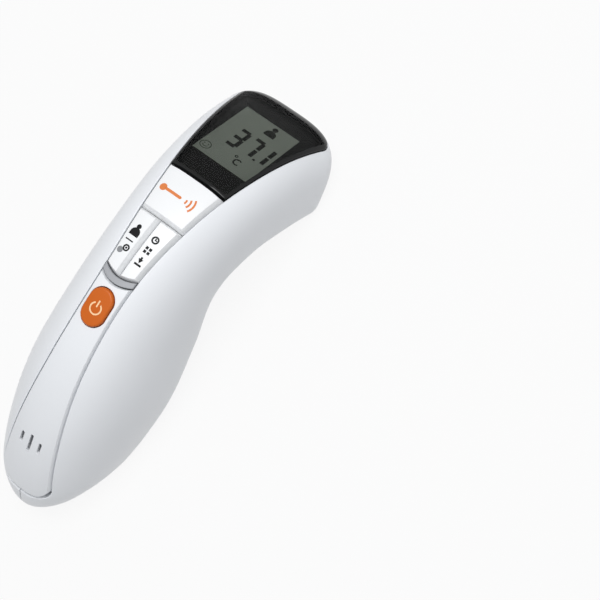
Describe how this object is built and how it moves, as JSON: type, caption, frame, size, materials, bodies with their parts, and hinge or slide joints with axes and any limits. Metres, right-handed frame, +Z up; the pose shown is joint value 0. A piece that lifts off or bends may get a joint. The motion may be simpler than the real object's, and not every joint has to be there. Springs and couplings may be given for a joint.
{
  "type": "infrared forehead thermometer",
  "caption": "Curved hand-held infrared thermometer: clamshell housing with inlaid keys, a display window over the head, a sensor nose and a hinged battery door.",
  "frame": {"origin": "centre of the bounding box's base, on the surface that the heel and the head's lower edge stand on", "axes": "+X from the tail of the handle to the head, +Y to the left, +Z up"},
  "size_m": [0.147, 0.0424, 0.054],
  "materials": {
    "white_gloss": "glossy white",
    "key_white": "satin white",
    "grey": "satin grey",
    "orange": "glossy orange",
    "black_window": "polished black",
    "display_glass": "grey-green display",
    "black": "matte black",
    "circuit_board": "green solder mask",
    "steel": "nickel-plated",
    "aluminium": "turned",
    "elastomer": "grey elastomer",
    "infrared_filter": "dark coated",
    "flex_cable": "amber film",
    "cell_jacket": "printed jacket, satin",
    "red_wire": "satin red"
  },
  "bodies": {
    "handset": {"housing_left": "white_gloss", "housing_right": "white_gloss", "control_panel": "white_gloss", "key_frame": "grey", "display_window": "black_window", "lcd_panel": "display_glass", "lcd_holder": "black", "lcd_connector": "elastomer", "display_board": "circuit_board", "key_board": "circuit_board", "main_board": "circuit_board", "sensor_board": "circuit_board", "processor": "black", "radio_module": "aluminium", "buzzer": "black", "nose_ring": "grey", "ir_window": "infrared_filter", "sensor_holder": "aluminium", "ir_sensor": "steel", "battery_tray": "black", "battery_left": "cell_jacket", "battery_right": "cell_jacket", "contact_positive": "steel", "contact_negative": "steel", "contact_bridge": "steel", "display_flex": "flex_cable", "key_flex": "flex_cable", "sensor_flex": "flex_cable", "battery_wire_red": "red_wire", "battery_wire_black": "black", "buzzer_wire_red": "red_wire", "buzzer_wire_black": "black", "measure_switch": "black", "mode_switch": "black", "memory_switch": "black", "power_switch": "black", "housing_screw_1": "steel", "housing_screw_2": "steel", "housing_screw_3": "steel", "housing_screw_4": "steel"},
    "measure_key": {"measure_button": "key_white", "measure_switch_stem": "grey"},
    "mode_key": {"mode_button": "key_white", "mode_switch_stem": "grey"},
    "memory_key": {"memory_button": "key_white", "memory_switch_stem": "grey"},
    "power_key": {"power_button": "orange", "power_switch_stem": "grey"},
    "door": {"battery_door": "white_gloss"}
  },
  "joints": [
    {"name": "measure_press", "type": "slide", "parent": "handset", "child": "measure_key", "axis": [-0.2129, 0, -0.9771], "range_m": [0, 0.0005], "stiffness_N_per_m": 1500, "springref_m": -0.0003},
    {"name": "mode_press", "type": "slide", "parent": "handset", "child": "mode_key", "axis": [-0.2129, 0, -0.9771], "range_m": [0, 0.0005], "stiffness_N_per_m": 1500, "springref_m": -0.0003},
    {"name": "memory_press", "type": "slide", "parent": "handset", "child": "memory_key", "axis": [-0.2129, 0, -0.9771], "range_m": [0, 0.0005], "stiffness_N_per_m": 1500, "springref_m": -0.0003},
    {"name": "power_press", "type": "slide", "parent": "handset", "child": "power_key", "axis": [0.1261, 0, -0.992], "range_m": [0, 0.0005], "stiffness_N_per_m": 1500, "springref_m": -0.0003},
    {"name": "door_hinge", "type": "hinge", "parent": "handset", "child": "door", "pos_m": [-0.03608, 0, 0], "axis": [0, 1, 0], "range_deg": [0, 80]}
  ]
}
